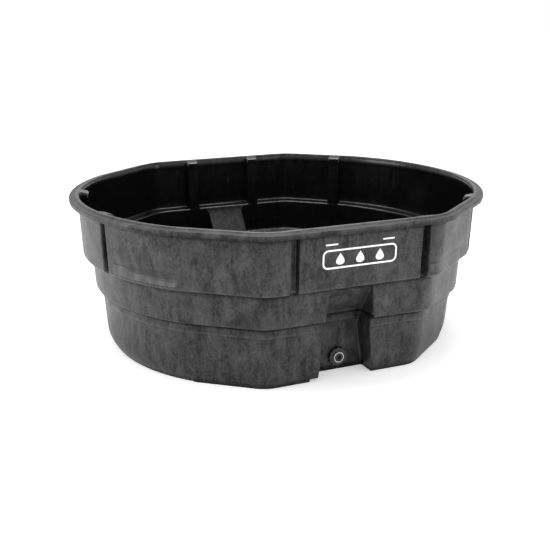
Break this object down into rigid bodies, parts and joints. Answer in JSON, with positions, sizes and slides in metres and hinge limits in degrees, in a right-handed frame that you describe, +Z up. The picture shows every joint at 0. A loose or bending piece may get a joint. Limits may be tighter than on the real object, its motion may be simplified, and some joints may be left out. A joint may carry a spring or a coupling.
{
  "type": "livestock water trough",
  "caption": "Large open moulded water tank for livestock with stepped walls, rolled rim and a screw-in drain plug in a front recess.",
  "frame": {"origin": "on the ground under the middle of the tank", "axes": "+Z up; X along the length, from round end to round end; -Y the front, with the drain"},
  "size_m": [1.753, 1.552, 0.635],
  "materials": {
    "tank_plastic": "matt moulded structural-foam polyethylene with faint swirl marks",
    "fitting_metal": "machined, slightly dulled",
    "fitting_plastic": "satin moulded",
    "plug_plastic": "smooth moulded",
    "seal_rubber": "matt rubber"
  },
  "bodies": {
    "root": {"tank_shell": "tank_plastic", "drain_fitting": "fitting_metal", "flange_gasket": "seal_rubber", "locknut": "fitting_plastic"},
    "seal": {"plug_seal": "seal_rubber"},
    "plug": {"drain_plug": "plug_plastic"}
  },
  "joints": [
    {"name": "plug_travel", "type": "slide", "parent": "root", "child": "seal", "axis": [0, -1, 0], "range_m": [0, 0.0178]},
    {"name": "plug_turn", "type": "hinge", "parent": "seal", "child": "plug", "pos_m": [0.014, -0.56, 0.056], "axis": [0, -1, 0], "range_deg": [0, 2880]}
  ],
  "couplings": [
    {"joint": "plug_travel", "follows": "plug_turn", "m_per_rad": 0.00035157}
  ]
}
